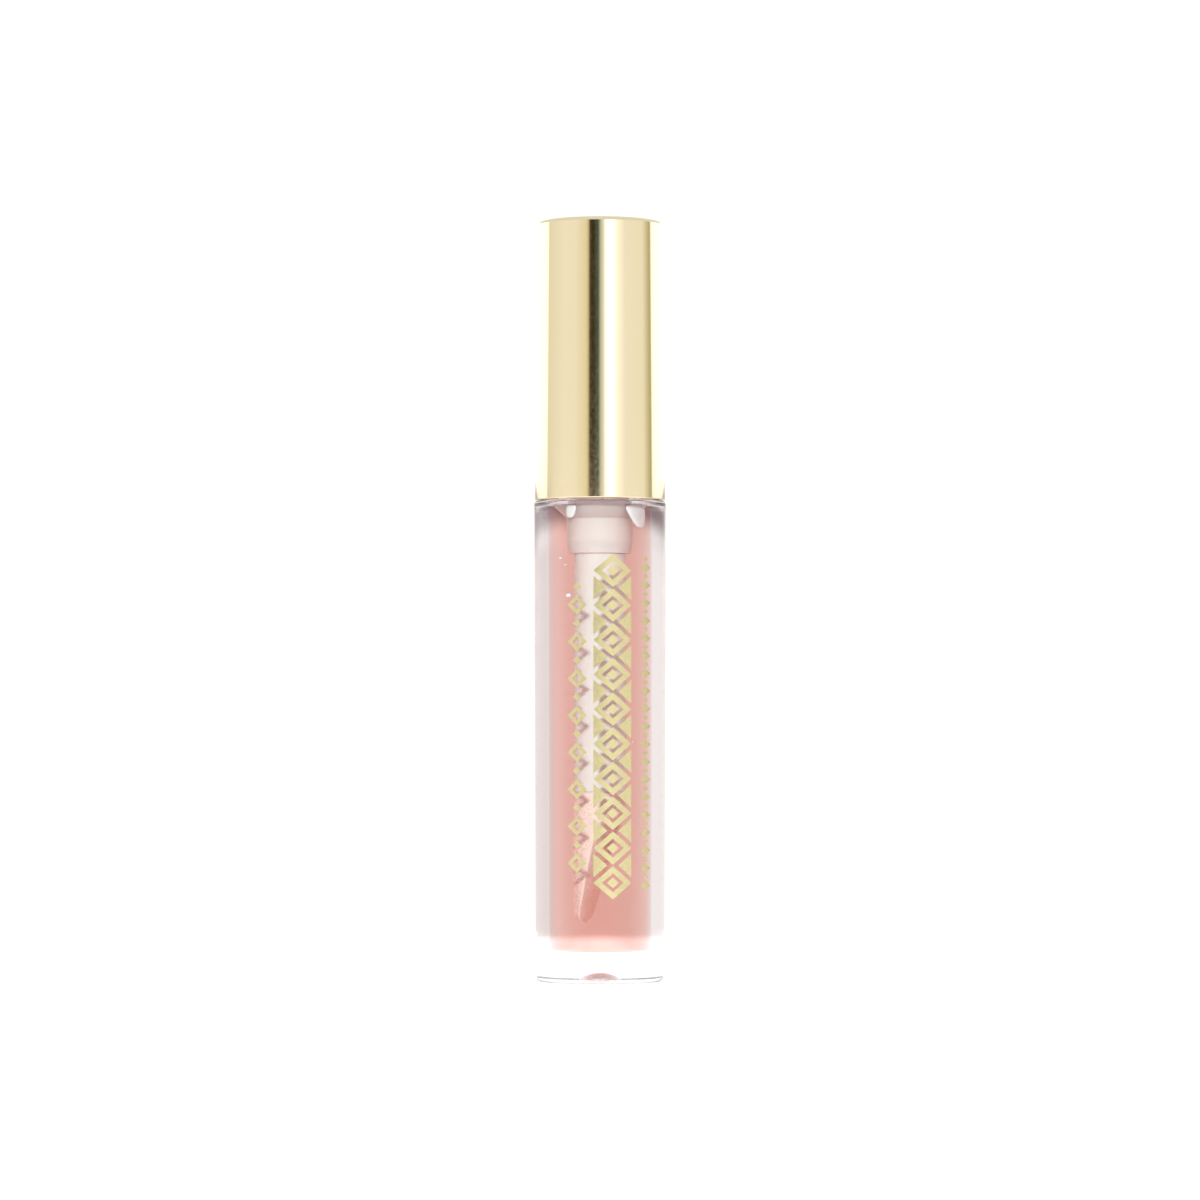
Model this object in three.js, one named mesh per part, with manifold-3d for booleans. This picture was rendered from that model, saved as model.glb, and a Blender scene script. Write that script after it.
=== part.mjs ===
// A lip gloss tube: a thick-walled clear vial with a threaded neck, a wiper pressed into the neck,
// the gloss fill, and a screw cap that carries a stem with a flocked doe-foot tip.
// Units are millimetres, +Z is up, and the origin is the centre of the flat base.
import * as THREE from "three";
import { mergeVertices } from "three/addons/utils/BufferGeometryUtils.js";
import Module from "manifold-3d";

const wasm = await Module();
wasm.setup();

// ---------------------------------------------------------------- driving dimensions
const SEGMENTS = 40; // facets round every turned piece, so that nested pieces stay parallel
const TOTAL_HEIGHT = 104.3;
const SLIDE_GAP = 0.1; // radial clearance between pieces that move past each other
const SEAT_GAP = 0.05; // clearance between pieces that are pressed together

const vial = {
  height: 65.85, // base to shoulder
  baseRadius: 8.8,
  shoulderRadius: 9.05,
  baseFillet: 0.6,
  shoulderFillet: 0.35,
  floor: 4.1, // thickness of the clear base
  floorFillet: 0.3,
  boreRadius: 4.5, // at the floor; the bore opens by boreDraft towards the neck
  boreDraft: 0.1,
  dimpleRadius: 2.0, // moulding gate recess under the base
  dimpleDepth: 1.4,
};

const neck = {
  height: 12.75,
  rootRadius: 5.75,
  crestRadius: 6.45,
  chamfer: 0.4,
  mouthChamfer: 0.2,
};
const NECK_TOP = vial.height + neck.height;

const thread = {
  pitch: 2.12,
  turns: 1.5,
  baseWidth: 1.2,
  crestWidth: 0.5,
  bite: 0.3, // how far the ridge's foot reaches into the wall that carries it
  neckStart: 71.6,
};

const wiper = {
  flangeRadius: 5.4,
  flangeThickness: 0.95,
  barrelInnerRadius: 3.7,
  barrelEnd: 66.0,
  coneEnd: 63.4,
  tubeRadius: 2.92,
  tubeInnerRadius: 2.62,
  lipRadius: 2.5,
  lipHeight: 0.5,
  bottom: 58.6,
  endRadius: 2.72, // the tube narrows to this over its last taperHeight
  taperHeight: 1.8,
};
const WIPER_TOP = NECK_TOP + SEAT_GAP + wiper.flangeThickness;

const stem = {
  radius: 2.3,
  bottom: 26.0,
  top: 88.5,
  collarRadius: 3.3,
  collarBottom: 79.95,
  collarTop: 80.95,
  beadRadius: 2.52,
  beadHeight: 86.0,
  socketRadius: 1.3,
  socketDepth: 5.0,
};

const tip = {
  radius: 2.4,
  top: 25.6,
  bottom: 7.5,
  slantTurn: -25, // degrees about Z from +X to the way the slanting face looks
  flockThickness: 0.35,
  spigotRadius: 1.2,
  spigotTop: 30.7,
};

const innerCap = {
  bottom: 66.3,
  flangeRadius: 7.95,
  flangeHeight: 0.8,
  skirtRadius: 7.6,
  skirtTopRadius: 7.5,
  threadRootRadius: 7.0,
  deckBottom: 81.05,
  deckTop: 83.0,
  sealInner: 4.3,
  sealOuter: 5.2,
  sleeveRadius: 3.6,
  sleeveTop: 89.5,
  ribCount: 12,
  ribWidth: 0.8,
  ribRadius: 7.82,
};

const capShell = {
  bottom: 65.95,
  bottomRadius: 8.93,
  topRadius: 8.62,
  topFillet: 0.5,
  wall: 0.8,
  roof: 1.2,
  rim: 0.12,
  ribCount: 8,
  ribWidth: 0.8,
  ribReach: 1.3, // how far a rib stands in from the wall
  ribBottom: 83.4,
};

// ---------------------------------------------------------------- profile helpers
const at = (radius, height) => new THREE.Vector2(radius, height);
const radians = THREE.MathUtils.degToRad;

// Points of a circular arc in the profile plane, from one angle to another, both in degrees.
function arc(centreRadius, centreHeight, radius, from, to, steps = 4) {
  return Array.from({ length: steps + 1 }, (_, i) => {
    const angle = radians(from + ((to - from) * i) / steps);
    return at(centreRadius + radius * Math.cos(angle), centreHeight + radius * Math.sin(angle));
  });
}

// Turns a profile of (radius, height) points about the Z axis. Going up the outside faces out.
function turned(profile, segments = SEGMENTS) {
  return new THREE.LatheGeometry(profile, segments).rotateX(Math.PI / 2);
}

// A ring-shaped profile has to end where it began.
const closed = (profile) => [...profile, profile[0]];

// The bore widens evenly from the floor of the vial to the mouth of the neck.
const boreAt = (height) =>
  vial.boreRadius + (vial.boreDraft * (height - vial.floor)) / (NECK_TOP - vial.floor);

// ---------------------------------------------------------------- solid helpers
function solid(geometry) {
  const bare = geometry.clone();
  bare.deleteAttribute("normal");
  bare.deleteAttribute("uv");
  const merged = mergeVertices(bare, 1e-4);
  return new wasm.Manifold(
    new wasm.Mesh({
      numProp: 3,
      vertProperties: merged.attributes.position.array,
      triVerts: new Uint32Array(merged.index.array),
    }),
  );
}

function geometryOf(manifold) {
  const made = manifold.getMesh();
  return new THREE.BufferGeometry()
    .setAttribute("position", new THREE.BufferAttribute(made.vertProperties, 3))
    .setIndex(new THREE.BufferAttribute(made.triVerts, 1));
}

// A screw thread ridge: a turned trapezoid that climbs one pitch each turn. Both ends fade to a
// point inside the wall, which closes the surface. footRadius is in the wall, crestRadius at the tip.
function threadRidge(footRadius, crestRadius, startHeight) {
  const { pitch, turns, baseWidth, crestWidth } = thread;
  const outward = crestRadius > footRadius;
  const section = [
    at(footRadius, -baseWidth / 2),
    at(crestRadius, -crestWidth / 2),
    at(crestRadius, crestWidth / 2),
    at(footRadius, baseWidth / 2),
  ];
  const profile = closed(outward ? section : section.toReversed());
  const steps = Math.round(SEGMENTS * turns);
  const ridge = new THREE.LatheGeometry(profile, steps, 0, 2 * Math.PI * turns);
  const position = ridge.attributes.position;
  const fadeSteps = SEGMENTS / 8;
  for (let i = 0; i < position.count; i++) {
    const step = Math.floor(i / profile.length);
    const angle = (step / steps) * turns * 2 * Math.PI;
    const height = THREE.MathUtils.clamp(Math.min(step, steps - step) / fadeSteps, 0, 1);
    const point = profile[i % profile.length];
    const radius = footRadius + (point.x - footRadius) * height;
    const rise = startHeight + (pitch * angle) / (2 * Math.PI) + point.y * height;
    position.setXYZ(i, radius * Math.sin(angle), rise, radius * Math.cos(angle));
  }
  return solid(ridge.rotateX(Math.PI / 2));
}

// Straight ribs spread evenly round the axis, each a box that reaches from inner to outer radius.
function ribs({ count, width, inner, outer, bottom, top }) {
  return Array.from({ length: count }, (_, i) =>
    solid(
      new THREE.BoxGeometry(outer - inner, width, top - bottom)
        .translate((inner + outer) / 2, 0, (bottom + top) / 2)
        .rotateZ((2 * Math.PI * i) / count),
    ),
  );
}

const joined = (first, others) => others.reduce((sum, other) => sum.add(other), first);

// ---------------------------------------------------------------- the vial and what it holds
function makeVial() {
  const { height, baseRadius, shoulderRadius, baseFillet, shoulderFillet } = vial;
  const { floor, floorFillet, dimpleRadius, dimpleDepth } = vial;
  const { rootRadius, crestRadius, chamfer, mouthChamfer } = neck;
  const dimpleSphere = (dimpleRadius ** 2 + dimpleDepth ** 2) / (2 * dimpleDepth);
  const dimpleAngle = THREE.MathUtils.radToDeg(Math.asin(dimpleRadius / dimpleSphere));
  const floorBore = boreAt(floor);
  const body = turned([
    ...arc(0, dimpleDepth - dimpleSphere, dimpleSphere, 90, 90 - dimpleAngle, 5),
    ...arc(baseRadius - baseFillet, baseFillet, baseFillet, -90, 0),
    ...arc(shoulderRadius - shoulderFillet, height - shoulderFillet, shoulderFillet, 0, 90),
    ...arc(rootRadius + chamfer, height + chamfer, chamfer, -90, -180, 3),
    at(rootRadius, NECK_TOP - chamfer),
    at(rootRadius - chamfer, NECK_TOP),
    at(boreAt(NECK_TOP) + mouthChamfer, NECK_TOP),
    at(boreAt(NECK_TOP - mouthChamfer), NECK_TOP - mouthChamfer),
    ...arc(floorBore - floorFillet, floor + floorFillet, floorFillet, 0, -90, 3),
    at(0, floor),
  ]);
  return solid(body).add(threadRidge(rootRadius - thread.bite, crestRadius, thread.neckStart));
}

function makeWiper() {
  const { flangeRadius, barrelInnerRadius, barrelEnd, coneEnd } = wiper;
  const { tubeRadius, tubeInnerRadius, lipRadius, lipHeight, bottom } = wiper;
  const { endRadius, taperHeight } = wiper;
  const flangeBottom = NECK_TOP + SEAT_GAP;
  const barrelAt = (height) => boreAt(height) - SEAT_GAP;
  const edge = 0.2;
  return turned(
    closed([
      at(lipRadius, bottom),
      at(endRadius - edge / 4, bottom),
      at(endRadius, bottom + edge),
      at(tubeRadius, bottom + taperHeight),
      at(tubeRadius, coneEnd),
      at(barrelAt(barrelEnd) - edge, barrelEnd - edge),
      at(barrelAt(barrelEnd), barrelEnd + edge),
      at(barrelAt(flangeBottom - 2 * edge), flangeBottom - 2 * edge),
      at(barrelAt(flangeBottom) - edge, flangeBottom),
      at(flangeRadius, flangeBottom),
      at(flangeRadius, WIPER_TOP - edge),
      at(flangeRadius - edge, WIPER_TOP),
      at(barrelInnerRadius + edge, WIPER_TOP),
      at(barrelInnerRadius, WIPER_TOP - edge),
      at(barrelInnerRadius, barrelEnd + 2 * edge),
      at(tubeInnerRadius, coneEnd + edge),
      at(tubeInnerRadius, bottom + 2 * lipHeight),
      at(lipRadius, bottom + lipHeight),
    ]),
  );
}

// The gloss fills the bore up to the wiper's cone, less the straight way that the applicator uses.
function makeGloss() {
  const { floor, floorFillet } = vial;
  const clearOfWiper = 0.25;
  const wayRadius = tip.radius + SLIDE_GAP;
  const bottom = floor + SEAT_GAP;
  const top = wiper.barrelEnd - 0.7;
  const fillRadius = (height) => boreAt(height) - SEAT_GAP;
  return turned([
    at(0, bottom),
    ...arc(fillRadius(bottom) - floorFillet, bottom + floorFillet, floorFillet, -90, 0, 3),
    at(fillRadius(top), top),
    at(fillRadius(top) - clearOfWiper, top),
    at(wiper.tubeRadius + clearOfWiper, wiper.coneEnd - clearOfWiper),
    at(wiper.tubeRadius + clearOfWiper, wiper.bottom - clearOfWiper),
    at(wayRadius, wiper.bottom - clearOfWiper),
    at(wayRadius, tip.bottom + wayRadius / 2),
    at(wayRadius * 0.8, tip.bottom + wayRadius / 6),
    at(wayRadius * 0.4, tip.bottom - SLIDE_GAP * 2),
    at(0, tip.bottom - SLIDE_GAP * 3),
  ]);
}

// ---------------------------------------------------------------- the applicator
function makeStem() {
  const { radius, bottom, top, collarRadius, collarBottom, collarTop } = stem;
  const { beadRadius, beadHeight, socketRadius, socketDepth } = stem;
  const edge = 0.2;
  const beadHalf = 0.4;
  return turned([
    at(0, bottom + socketDepth),
    at(socketRadius, bottom + socketDepth),
    at(socketRadius, bottom),
    at(radius - edge, bottom),
    at(radius, bottom + edge),
    at(radius, collarBottom - edge),
    at(collarRadius - edge, collarBottom),
    at(collarRadius, collarBottom + edge),
    at(collarRadius, collarTop),
    at(radius, collarTop),
    at(radius, beadHeight - beadHalf),
    at(beadRadius, beadHeight - edge / 2),
    at(beadRadius, beadHeight + edge / 2),
    at(radius, beadHeight + beadHalf),
    at(radius, top - 3 * edge),
    at(radius - 3 * edge, top),
    at(0, top),
  ]);
}

// The doe foot's slanting face, seen along Y: a hollow curve from the full width of the tip down
// to its thin end. Everything on the +X side of it is cut away. Turning it comes last.
function slantCutter(offset) {
  const face = new THREE.SplineCurve([
    at(2.6, 24.3),
    at(1.2, 21.9),
    at(0.35, 18.5),
    at(-0.45, 13.5),
    at(-1.1, 9.3),
    at(-1.5, 6.5),
  ]);
  const reach = 4;
  const outline = face.getPoints(14).map((point) => at(point.x - offset, point.y));
  outline.push(at(reach, outline.at(-1).y), at(reach, outline[0].y));
  const cutter = new THREE.ExtrudeGeometry(new THREE.Shape(outline), {
    depth: 2 * reach,
    bevelEnabled: false,
  });
  return solid(cutter.translate(0, 0, -reach).rotateX(Math.PI / 2).rotateZ(radians(tip.slantTurn)));
}

// A round-ended rod with the slanting face cut from it. depth is how far it lies inside the flock.
function doeFoot(depth, top) {
  const radius = tip.radius - depth;
  const roundEnd = arc(0, tip.bottom + tip.radius, radius, -90, 0, 6);
  const rod = turned([...roundEnd, at(radius, top), at(0, top)]);
  return solid(rod).subtract(slantCutter(depth));
}

function makeTipCore() {
  const { flockThickness, top, spigotRadius, spigotTop } = tip;
  const spigot = turned([
    at(0, top - 1),
    at(spigotRadius, top - 1),
    at(spigotRadius, spigotTop - 0.3),
    at(spigotRadius - 0.3, spigotTop),
    at(0, spigotTop),
  ]);
  return doeFoot(flockThickness + SEAT_GAP, top + SEAT_GAP).add(solid(spigot));
}

// The flock is a thin sleeve of fibre over the core, open at the top.
function makeTipFlock() {
  return doeFoot(0, tip.top).subtract(doeFoot(tip.flockThickness, tip.top + 1));
}

// ---------------------------------------------------------------- the cap
function makeInnerCap() {
  const { bottom, flangeRadius, flangeHeight, skirtRadius, skirtTopRadius } = innerCap;
  const { threadRootRadius, deckBottom, deckTop, sealInner, sealOuter } = innerCap;
  const { sleeveRadius, sleeveTop, ribCount, ribWidth, ribRadius } = innerCap;
  const edge = 0.3;
  const hole = stem.radius + SLIDE_GAP;
  const groove = stem.beadRadius + SLIDE_GAP;
  const grooveHalf = 0.5;
  const sealBottom = WIPER_TOP + SEAT_GAP;
  const body = turned(
    closed([
      at(threadRootRadius + edge, bottom),
      at(flangeRadius, bottom),
      at(flangeRadius, bottom + flangeHeight),
      at(skirtRadius, bottom + flangeHeight),
      at(skirtTopRadius, deckTop - edge),
      at(skirtTopRadius - edge, deckTop),
      at(sleeveRadius + edge, deckTop),
      at(sleeveRadius, deckTop + edge),
      at(sleeveRadius - edge / 3, sleeveTop),
      at(hole + edge, sleeveTop),
      at(hole, sleeveTop - edge),
      at(hole, stem.beadHeight + grooveHalf + edge),
      at(groove, stem.beadHeight + grooveHalf),
      at(groove, stem.beadHeight - grooveHalf),
      at(hole, stem.beadHeight - grooveHalf - edge),
      at(hole, deckBottom),
      at(sealInner, deckBottom),
      at(sealInner, sealBottom),
      at(sealOuter - edge, sealBottom),
      at(sealOuter, sealBottom + edge),
      at(sealOuter, deckBottom),
      at(threadRootRadius, deckBottom),
      at(threadRootRadius, bottom + edge),
    ]),
  );
  const ridge = threadRidge(
    threadRootRadius + thread.bite,
    neck.crestRadius + SLIDE_GAP,
    thread.neckStart - thread.pitch / 2,
  );
  const gripRibs = ribs({
    count: ribCount,
    width: ribWidth,
    inner: skirtTopRadius - 0.4,
    outer: ribRadius,
    bottom: bottom + 2 * flangeHeight,
    top: deckTop - 2 * edge,
  });
  return joined(solid(body), [ridge, ...gripRibs]);
}

function makeCapShell() {
  const { bottom, bottomRadius, topRadius, topFillet, wall, roof, rim } = capShell;
  const { ribCount, ribWidth, ribReach, ribBottom } = capShell;
  const inside = TOTAL_HEIGHT - roof;
  const innerTop = topRadius - wall;
  const body = turned([
    at(0, inside),
    ...arc(innerTop - rim * 2, inside - rim * 2, rim * 2, 90, 0, 2),
    at(bottomRadius - wall, bottom + rim),
    at(bottomRadius - wall + rim, bottom),
    ...arc(bottomRadius - rim, bottom + rim, rim, -90, 0, 2),
    ...arc(topRadius - topFillet, TOTAL_HEIGHT - topFillet, topFillet, 0, 90, 5),
    at(0, TOTAL_HEIGHT),
  ]);
  const stopRibs = ribs({
    count: ribCount,
    width: ribWidth,
    inner: innerTop - ribReach,
    outer: innerTop + wall / 3,
    bottom: ribBottom,
    top: inside + roof / 2,
  });
  return joined(solid(body), stopRibs);
}

// ---------------------------------------------------------------- the assembly
const plastic = (color, roughness, extra = {}) =>
  new THREE.MeshStandardMaterial({ color, roughness, metalness: 0, ...extra });

const clearPlastic = plastic(0xf4f2f4, 0.05, { transparent: true, opacity: 0.25 });
const peachGloss = plastic(0xe3a091, 0.1, { transparent: true, opacity: 0.85 });
const softWhite = plastic(0xf1ece6, 0.45);
const rodCream = plastic(0xefe3dc, 0.35);
const coreWhite = plastic(0xe9e2dc, 0.6);
const flockPink = plastic(0xf2dcd4, 0.95);
const innerWhite = plastic(0xeeeeec, 0.4);
const goldFinish = plastic(0xe9cf8e, 0.12, { metalness: 1 });

const pieces = [
  ["vial", geometryOf(makeVial()), clearPlastic],
  ["wiper", makeWiper(), softWhite],
  ["gloss", makeGloss(), peachGloss],
  ["stem", makeStem(), rodCream],
  ["tip_core", geometryOf(makeTipCore()), coreWhite],
  ["tip_flock", geometryOf(makeTipFlock()), flockPink],
  ["inner_cap", geometryOf(makeInnerCap()), innerWhite],
  ["cap_shell", geometryOf(makeCapShell()), goldFinish],
];

const tube = new THREE.Group();
for (const [name, geometry, material] of pieces) {
  const mesh = new THREE.Mesh(geometry, material);
  mesh.name = name;
  tube.add(mesh);
}

export default tube;
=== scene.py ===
"""The looks of a lip gloss tube: fine turned pieces, gloss, applicator, foil print and studio."""

import math
import random

import bmesh
import bpy
from mathutils import Matrix, Vector


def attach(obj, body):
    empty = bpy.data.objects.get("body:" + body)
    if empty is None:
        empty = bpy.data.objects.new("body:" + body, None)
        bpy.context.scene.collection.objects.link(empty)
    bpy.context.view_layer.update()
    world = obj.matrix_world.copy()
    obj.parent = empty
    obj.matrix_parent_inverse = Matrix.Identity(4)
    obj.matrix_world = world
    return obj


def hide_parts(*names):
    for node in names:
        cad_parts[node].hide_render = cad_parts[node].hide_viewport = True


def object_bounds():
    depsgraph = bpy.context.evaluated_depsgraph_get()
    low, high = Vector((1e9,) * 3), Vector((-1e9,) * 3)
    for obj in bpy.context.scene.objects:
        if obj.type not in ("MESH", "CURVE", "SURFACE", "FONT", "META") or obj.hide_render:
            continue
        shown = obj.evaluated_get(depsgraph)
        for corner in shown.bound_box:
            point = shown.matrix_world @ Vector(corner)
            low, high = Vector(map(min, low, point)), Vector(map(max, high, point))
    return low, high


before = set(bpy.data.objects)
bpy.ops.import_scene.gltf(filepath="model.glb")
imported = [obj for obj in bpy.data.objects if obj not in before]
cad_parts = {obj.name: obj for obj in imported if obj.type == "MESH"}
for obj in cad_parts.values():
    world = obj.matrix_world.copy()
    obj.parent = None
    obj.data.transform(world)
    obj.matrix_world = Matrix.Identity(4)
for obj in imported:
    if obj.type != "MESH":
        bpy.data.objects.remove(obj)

CAD_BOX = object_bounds()
MM = 0.001

# ---------------------------------------------------------------- driving dimensions, millimetres
SEGMENTS = 256  # facets round a large turned piece
ROD_SEGMENTS = 128
LONG_STRAIGHT = 0.5  # a straight longer than this gets a holding point at each end
HOLDING = 0.04  # how close to the end the holding point is
CLOSE = 0.01  # radii and heights nearer than this are the same wall
TINY = 0.0001  # smaller than any real distance
ROUNDING_SHARE = 0.45  # the most that a corner's curve takes from a side

VIAL_HEIGHT = 65.85
VIAL_BASE_RADIUS = 8.8
VIAL_SHOULDER_RADIUS = 9.05
BASE_FILLET = 0.6
SHOULDER_FILLET = 0.35
FLOOR = 4.1
FLOOR_FILLET = 0.35
DIMPLE_RADIUS = 2.0
DIMPLE_DEPTH = 1.4
DIMPLE_EDGE = 0.15  # radius of the curve round the dimple's rim
BORE_RADIUS = 4.5
BORE_DRAFT = 0.1

NECK_TOP = 78.6
NECK_ROOT = 5.75
NECK_CREST = 6.45
NECK_CHAMFER = 0.4
MOUTH_CHAMFER = 0.2

THREAD_PITCH = 2.12
THREAD_TURNS = 1.5
THREAD_BASE = 0.6  # half width of the ridge at its foot
THREAD_CREST = 0.25  # half width of the ridge at its crest
THREAD_START = 71.6
THREAD_LEAD = 1 / 8  # turns over which a ridge rises at each end
THREAD_STEP = 0.12  # height between the rings of a threaded wall

FILL_LEVEL = 65.3
LIQUID_GAP = 0.02  # the liquid's own surface lies this far inside the bore

WIPER_TOP = 79.6
WIPER_BOTTOM = 58.6
WIPER_FLANGE = 5.4
WIPER_BARREL = 3.7
WIPER_BARREL_END = 66.0
WIPER_CONE_END = 63.4
WIPER_TUBE = 2.92
WIPER_TUBE_BORE = 2.62
WIPER_LIP = 2.5
WIPER_END = 2.72  # the tube narrows to this over its last WIPER_TAPER
WIPER_TAPER = 1.8
WIPER_GAP = 0.03  # between the barrel and the neck
WIPER_SEAT_GAP = 0.05  # between the flange and the neck's mouth
WIPER_BARREL_DROP = 0.2  # the barrel's outside ends this much lower than its inside
WIPER_LIP_HEIGHT = 0.5
WIPER_LIP_CONE_END = 1.0
WIPER_ROUNDING = 0.1

STEM_RADIUS = 2.3
STEM_BOTTOM = 26.0
STEM_TOP = 88.5
STEM_COLLAR = 3.3
STEM_COLLAR_BOTTOM = 79.95
STEM_COLLAR_TOP = 80.95
STEM_CHAMFER = 0.2
STEM_FOOT_FILLET = 0.06
STEM_HEAD_FILLET = 0.6

TIP_RADIUS = 2.4
TIP_TOP = 25.95
TIP_BOTTOM = 7.5
TIP_TURN = math.radians(-25)  # from +X to the way the slanting face looks
TIP_FACE = [(2.6, 24.3), (1.2, 21.9), (0.35, 18.5), (-0.45, 13.5), (-1.1, 9.3), (-1.5, 6.5)]
TIP_FULLEST = 0.999  # the slanting face is never further from the axis, as a share of the radius
TIP_POINTS = 96  # round one of the tip's sections
TIP_STEP = 0.12  # height between sections
TIP_SMOOTHING = 12  # rounds of smoothing, which soften its edges
TIP_EASING = 0.3  # how much the slanting face is rounded between the points of TIP_FACE
FLOCK_INSET = 0.22  # the sleeve lies this far inside TIP_RADIUS, which leaves room for fibres
FLOCK_BOTTOM = 8.0
CORE_INSET = 0.38
CORE_BOTTOM = 8.6
FIBRE_LENGTH = 0.26
FIBRE_WIDTH = 0.022
FIBRES = 9000
FIBRE_SEED = 7
FIBRE_SPREAD = 0.35  # how far fibres lean at random
FIBRE_DROOP = 0.25  # how far they all lean down
FIBRE_LENGTHS = (0.6, 1.1)  # shortest and longest, as shares of FIBRE_LENGTH

INNER_BOTTOM = 66.3
INNER_FLANGE = 7.95
INNER_SKIRT = 7.6
INNER_SKIRT_TOP = 7.5
INNER_ROOT = 7.0
INNER_CREST = 6.55
INNER_DECK_BOTTOM = 81.05
INNER_DECK_TOP = 83.0
INNER_SLEEVE = 3.6
INNER_SLEEVE_TOP = 89.5
INNER_RIBS = 12
INNER_RIB_HEIGHT = 0.25
INNER_RIB_START = 1.2  # the ribs begin this far above the foot
INNER_RIB_WAVE = 0.93  # a rib stands where the ribs' cosine wave is above this
INNER_SKIRT_STEP = 0.8  # height between the skirt's rings
INNER_SLEEVE_DRAFT = 0.1
INNER_SLEEVE_FILLET = 0.2
INNER_FLANGE_HEIGHT = 0.8
INNER_CHAMFER = 0.1
INNER_FILLET = 0.4
INNER_LEAD_IN = 0.3  # height of the chamfers at the foot of the thread and the top of the hole
INNER_ROD_GAP = 0.08
SEAL_INNER = 4.3
SEAL_OUTER = 5.2
SEAL_CHAMFER = 0.3
SEAL_GAP = 0.06  # between the seal ring and the wiper's flange

CAP_BOTTOM = 65.95
CAP_TOP = 104.3
CAP_BOTTOM_RADIUS = 8.93
CAP_TOP_RADIUS = 8.62
CAP_FILLET = 0.5
CAP_WALL = 0.8
CAP_ROOF = 1.2
CAP_RIM = 0.12
CAP_RIM_CHAMFER = 0.1
CAP_INNER_FILLET = 0.4
CAP_TOP_EDGE = 0.5  # from the fillet's end to the outermost ring on the flat top
CAP_TOP_STEP = 1.2  # distance between the rings on the flat top

PRINT_LIFT = 0.012  # the foil stands this far off the wall
PRINT_THICKNESS = 0.03
PRINT_STEP = 0.35  # the foil is cut into strips this wide, so that it can follow the wall
PRINT_CUTS = 30  # on each side of its middle
LARGE_COUNT = 10
LARGE_START = (1.75, 13.75)  # the lowest motif's middle: distance round the wall, height
LARGE_PITCH = 4.7
LARGE_HALF_WIDTH = 2.65
LARGE_RING = (5.3, 4.5, 1.15)  # width, height, stroke
LARGE_CORE = (1.7, 1.45)
LARGE_TRIANGLE = (1.9, 3.3)
SMALL_COUNT = 16
SMALL_START = (-3.2, 16.4)
SMALL_PITCH = 2.5
SMALL_RING = (2.8, 2.7, 0.75)
SMALL_BEAD = (1.2, 1.1)
FINE_COUNT = 38
FINE_START = (6.85, 13.3)
FINE_PITCH = 1.2
FINE_DIAMOND = (1.9, 1.2)
FINE_BEAD = (0.9, 0.7)

# Each bubble's angle in degrees, height and radius.
BUBBLES = [(-66, 57.9, 0.16), (-55, 57.0, 0.10), (-51, 52.8, 0.30), (51, 32.8, 0.10)]
POCKET_SQUARENESS = 0.65  # 1 is an ellipsoid, and less is squarer

CAMERA_DISTANCE = 632
CAMERA_HEIGHT = 33
CAMERA_AIM = 52.3  # height of the picture's middle on the tube's axis
CAMERA_LENS = 138

PAPER_RADIUS = 184
PAPER_FADE = 138  # the paper thins out from here to its rim
PAPER_GAP = 0.02
PAPER_SHADE_REACH = (12, 50)  # painted shade: it goes from light to dark between these distances to each side
PAPER_LIGHT = 0.88
PAPER_SHADED = 0.58
LAMP_AIM = 40  # height on the tube's axis that the lamps point at
LAMP_DISTANCE = 1000

# ---------------------------------------------------------------- optics and lamps
PLASTIC_IOR = 1.57
GLOSS_IOR = 1.56
GLOSS_STRENGTH = 140.0  # light lost to the gloss, per metre
NOISE_SPREAD = (0.3, 0.7)  # noise mostly lies between these
MOTTLE_SPREAD = (0.35, 0.65)  # the noise levels where a colour is all dark and all light
KEY_POWER = 52.0  # watts
KEY_BEAM = 5.7  # degrees across

# The vial's material slots: most of it, the bore where it is filled, the shoulder's fillet, which
# is hazed and tinted dark as painted shade under the cap, and the curve of the foot with the dimple.
WALL, WETTED, SHADED_FILLET, FROSTED = range(4)


# ---------------------------------------------------------------- shapes
def arc(centre_radius, centre_height, radius, start, end, steps=8):
    """Profile points on a circular arc between two angles in degrees."""
    angles = [math.radians(start + (end - start) * i / steps) for i in range(steps + 1)]
    return [
        (centre_radius + radius * math.cos(a), centre_height + radius * math.sin(a)) for a in angles
    ]


def straight(start, end, step):
    """Evenly spaced profile points from start up to, but not including, end."""
    length = math.dist(start, end)
    count = max(1, round(length / step))
    return [
        (start[0] + (end[0] - start[0]) * i / count, start[1] + (end[1] - start[1]) * i / count)
        for i in range(count)
    ]


def rounded(corners, radius, steps=4):
    """A closed profile with each (radius, height) corner rounded off by a small curve."""
    points = []
    for i, corner in enumerate(corners):
        here = Vector(corner)
        before = Vector(corners[i - 1])
        after = Vector(corners[(i + 1) % len(corners)])
        reach_in = min(radius, (before - here).length * ROUNDING_SHARE)
        reach_out = min(radius, (after - here).length * ROUNDING_SHARE)
        start = here + (before - here).normalized() * reach_in
        end = here + (after - here).normalized() * reach_out
        for k in range(steps + 1):
            t = k / steps
            point = start * (1 - t) ** 2 + here * 2 * t * (1 - t) + end * t**2
            points.append((point.x, point.y))
    return points


def bore_at(height):
    """The vial's bore opens evenly from its floor to the mouth of the neck."""
    return BORE_RADIUS + BORE_DRAFT * (height - FLOOR) / (NECK_TOP - FLOOR)


def thread_height(angle, height, start):
    """How much of a thread's full depth stands at a place on the wall, from 0 to 1."""
    tallest = 0.0
    for turn in range(math.ceil(THREAD_TURNS)):
        travelled = angle / (2 * math.pi) + turn
        if travelled > THREAD_TURNS:
            continue
        fade = min(1.0, travelled / THREAD_LEAD, (THREAD_TURNS - travelled) / THREAD_LEAD)
        away = abs(height - start - THREAD_PITCH * travelled)
        flank = (THREAD_BASE - away) / (THREAD_BASE - THREAD_CREST)
        tallest = max(tallest, fade * min(1.0, max(0.0, flank)))
    return tallest


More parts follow.
